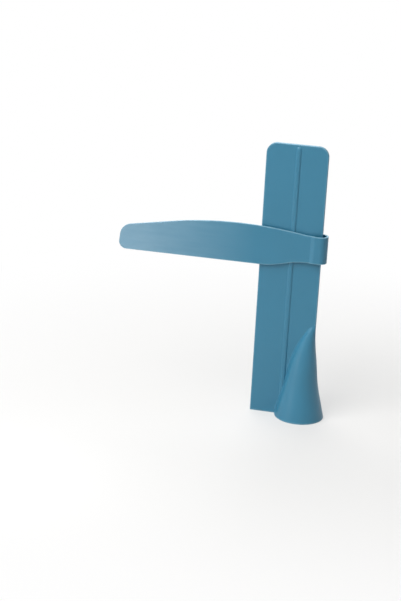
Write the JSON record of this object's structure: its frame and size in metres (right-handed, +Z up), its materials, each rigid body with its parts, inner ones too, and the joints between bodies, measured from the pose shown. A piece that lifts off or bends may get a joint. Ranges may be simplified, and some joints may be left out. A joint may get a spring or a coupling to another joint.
{
  "type": "icing smoother",
  "caption": "Adjustable icing smoother: an upright scraper blade on a hollow flared handle, with a level smoothing arm that slides up and down it on a loop.",
  "frame": {"origin": "centre of the handle's round foot, on the surface that the tool stands on", "axes": "+Z up along the upright blade; +X across the blade from its scraping edge to the handle, so the arm points to -X; -Y out of the front face that carries the bead"},
  "size_m": [0.1923, 0.044, 0.245],
  "materials": {
    "upright_plastic": "satin",
    "arm_plastic": "satin"
  },
  "bodies": {
    "upright": {"upright": "upright_plastic"},
    "arm": {"arm": "arm_plastic"}
  },
  "joints": [
    {"name": "arm_slide", "type": "slide", "parent": "upright", "child": "arm", "axis": [0, 0, 1], "range_m": [-0.06, 0.07]}
  ]
}
